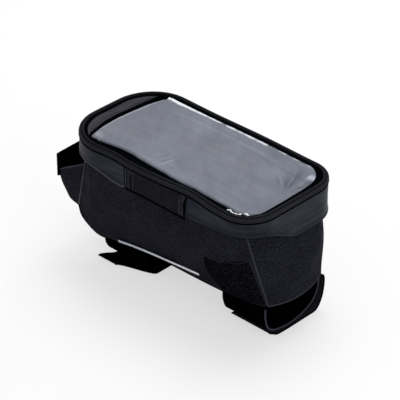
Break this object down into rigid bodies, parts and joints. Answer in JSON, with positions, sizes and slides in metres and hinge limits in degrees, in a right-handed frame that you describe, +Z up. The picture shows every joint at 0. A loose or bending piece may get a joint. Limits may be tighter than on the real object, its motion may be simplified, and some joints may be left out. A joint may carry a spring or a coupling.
{
  "type": "top tube bag",
  "caption": "Padded fabric bicycle bag with a zipped hinged lid, a clear phone window and hook-and-loop straps under it and in front.",
  "frame": {"origin": "middle of the bounding box at the level of the surface the straps rest on", "axes": "+X towards the rider, -X towards the stem, +Y to the rider's right, +Z up"},
  "size_m": [0.2384, 0.1092, 0.125],
  "materials": {
    "charcoal_fabric": "woven, matt",
    "coated_fabric": "smooth coated, satin",
    "rim_trim": "ribbed binding tape",
    "clear_film": "clear plastic film, slightly wrinkled",
    "grey_lining": "smooth lining cloth",
    "foam": "closed-cell foam",
    "base_board": "plain",
    "zip_coil": "moulded coil",
    "slider_metal": "black painted",
    "rubber": "matt",
    "reflective_tape": "retroreflective",
    "loop_fabric": "fuzzy loop pile",
    "hook_tape": "stiff hooks",
    "strap_webbing": "brushed webbing"
  },
  "bodies": {
    "bag": {"left_side_panel": "charcoal_fabric", "right_side_panel": "charcoal_fabric", "rear_panel": "charcoal_fabric", "front_panel": "charcoal_fabric", "base_panel": "charcoal_fabric", "left_side_foam": "foam", "right_side_foam": "foam", "rear_foam": "foam", "front_foam": "foam", "base_board": "base_board", "lining_tub": "grey_lining", "lower_zip_tape": "charcoal_fabric", "lower_zip_teeth": "zip_coil", "left_stripe": "reflective_tape", "right_stripe": "reflective_tape", "left_loop_patch": "loop_fabric", "right_loop_patch": "loop_fabric", "grip_pad": "rubber", "rear_strap_loop": "strap_webbing", "rear_strap_flap": "strap_webbing", "rear_hook_pad": "hook_tape", "front_strap_loop": "strap_webbing", "front_strap_flap": "strap_webbing", "front_hook_pad": "hook_tape", "head_strap_left_wing": "charcoal_fabric", "head_strap_right_wing": "charcoal_fabric", "head_strap_band": "strap_webbing"},
    "lid": {"lid_piping": "rim_trim", "inner_binding": "rim_trim", "lid_skirt": "coated_fabric", "hinge_panel": "charcoal_fabric", "lid_border": "charcoal_fabric", "window_film": "clear_film", "front_band": "coated_fabric", "lid_board": "foam", "pocket_wall": "foam", "pocket_back": "grey_lining", "upper_zip_tape": "charcoal_fabric", "upper_zip_teeth": "zip_coil"},
    "slider": {"zip_slider": "slider_metal", "zip_pull": "rubber"}
  },
  "joints": [
    {"name": "lid_hinge", "type": "hinge", "parent": "bag", "child": "lid", "pos_m": [0, -0.0546, 0.1003], "axis": [1, 0, 0], "range_deg": [0, 105]},
    {"name": "zip_slide", "type": "slide", "parent": "bag", "child": "slider", "axis": [1, 0, 0], "range_m": [0, 0.028]}
  ]
}
